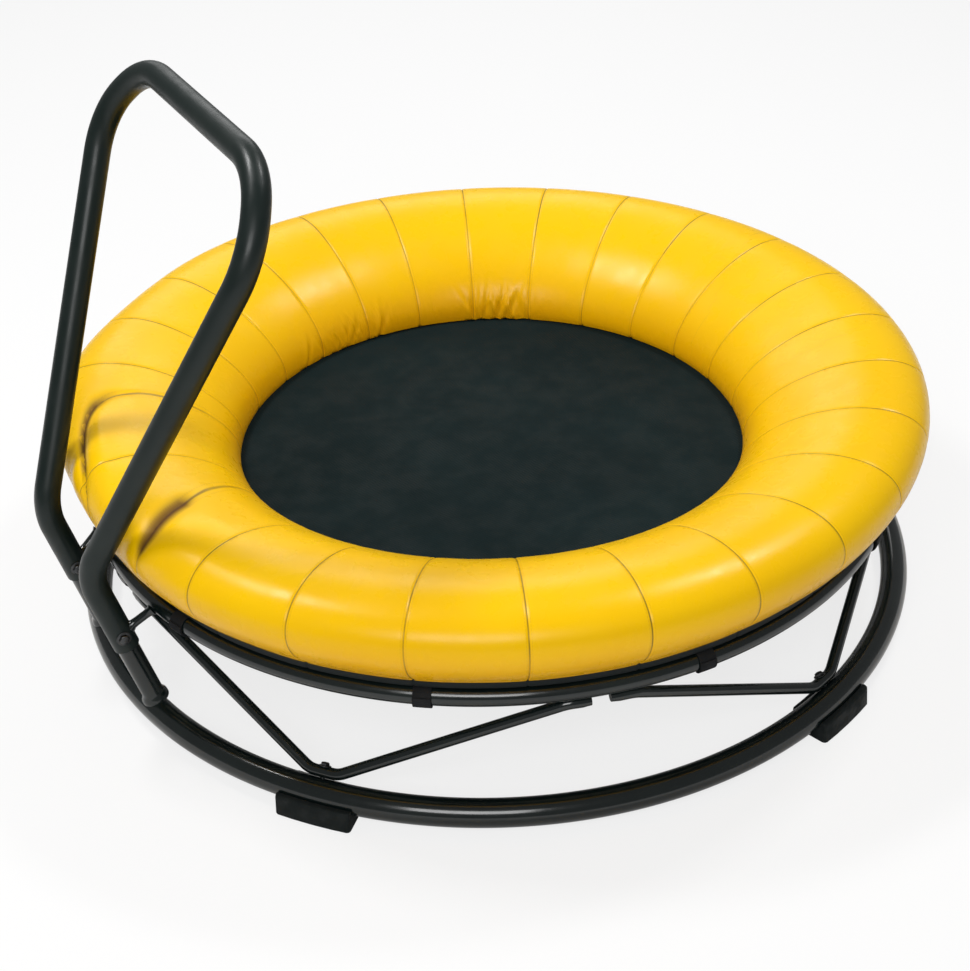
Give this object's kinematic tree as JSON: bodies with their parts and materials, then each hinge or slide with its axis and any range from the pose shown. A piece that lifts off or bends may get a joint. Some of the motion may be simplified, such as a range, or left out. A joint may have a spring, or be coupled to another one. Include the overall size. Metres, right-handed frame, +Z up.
{
  "type": "garden trampoline",
  "caption": "Small round garden trampoline for young children, with a padded ring over the springs, bent V struts on a base ring and a bent grab handle.",
  "frame": {"origin": "on the floor under the middle of the whole object's outline", "axes": "+Z up; the grab handle stands on the -X side, so +X is the long way of the plan from the handle to the far edge; Y runs across the handle"},
  "size_m": [1.0775, 1.0386, 0.6992],
  "materials": {
    "frame_paint": "dark green-black gloss enamel on steel tube",
    "handle_paint": "dark green-black gloss enamel on steel tube",
    "rubber": "matt black moulded rubber",
    "mat_fabric": "dark woven mat, matt",
    "band_webbing": "black woven webbing",
    "vinyl": "yellow coated fabric with a soft gloss",
    "foam": "cream open foam",
    "strap_webbing": "black woven webbing",
    "zinc": "zinc-plated spring wire",
    "bolt_steel": "zinc-plated steel"
  },
  "bodies": {
    "frame": {"base_ring": "frame_paint", "frame_ring": "frame_paint", "foam_ring": "foam", "pad_cover": "vinyl", "grab_handle": "handle_paint", "foot_1": "rubber", "v_strut_1": "frame_paint", "strut_bolt_1": "bolt_steel", "foot_2": "rubber", "v_strut_2": "frame_paint", "strut_bolt_2": "bolt_steel", "foot_3": "rubber", "v_strut_3": "frame_paint", "strut_bolt_3": "bolt_steel", "foot_4": "rubber", "v_strut_4": "frame_paint", "strut_bolt_4": "bolt_steel", "foot_5": "rubber", "v_strut_5": "frame_paint", "strut_bolt_5": "bolt_steel", "spring_01": "zinc", "spring_02": "zinc", "spring_03": "zinc", "spring_04": "zinc", "spring_05": "zinc", "spring_06": "zinc", "spring_07": "zinc", "spring_08": "zinc", "spring_09": "zinc", "spring_10": "zinc", "spring_11": "zinc", "spring_12": "zinc", "spring_13": "zinc", "spring_14": "zinc", "spring_15": "zinc", "spring_16": "zinc", "spring_17": "zinc", "spring_18": "zinc", "spring_19": "zinc", "spring_20": "zinc", "pad_strap_01": "strap_webbing", "pad_strap_02": "strap_webbing", "pad_strap_03": "strap_webbing", "pad_strap_04": "strap_webbing", "pad_strap_05": "strap_webbing", "pad_strap_06": "strap_webbing", "pad_strap_07": "strap_webbing", "pad_strap_08": "strap_webbing", "pad_strap_09": "strap_webbing", "pad_strap_10": "strap_webbing", "handle_post_left": "frame_paint", "handle_bolt_left": "bolt_steel", "handle_brace_left": "frame_paint", "handle_post_right": "frame_paint", "handle_bolt_right": "bolt_steel", "handle_brace_right": "frame_paint"},
    "mat_body": {"mat": "mat_fabric", "mat_edge_band": "band_webbing"}
  },
  "joints": [
    {"name": "mat_bounce", "type": "slide", "parent": "frame", "child": "mat_body", "axis": [0, 0, 1], "range_m": [-0.08, 0], "stiffness_N_per_m": 6000, "deforming": ["spring_01", "spring_02", "spring_03", "spring_04", "spring_05", "spring_06", "spring_07", "spring_08", "spring_09", "spring_10", "spring_11", "spring_12", "spring_13", "spring_14", "spring_15", "spring_16", "spring_17", "spring_18", "spring_19", "spring_20"]}
  ]
}
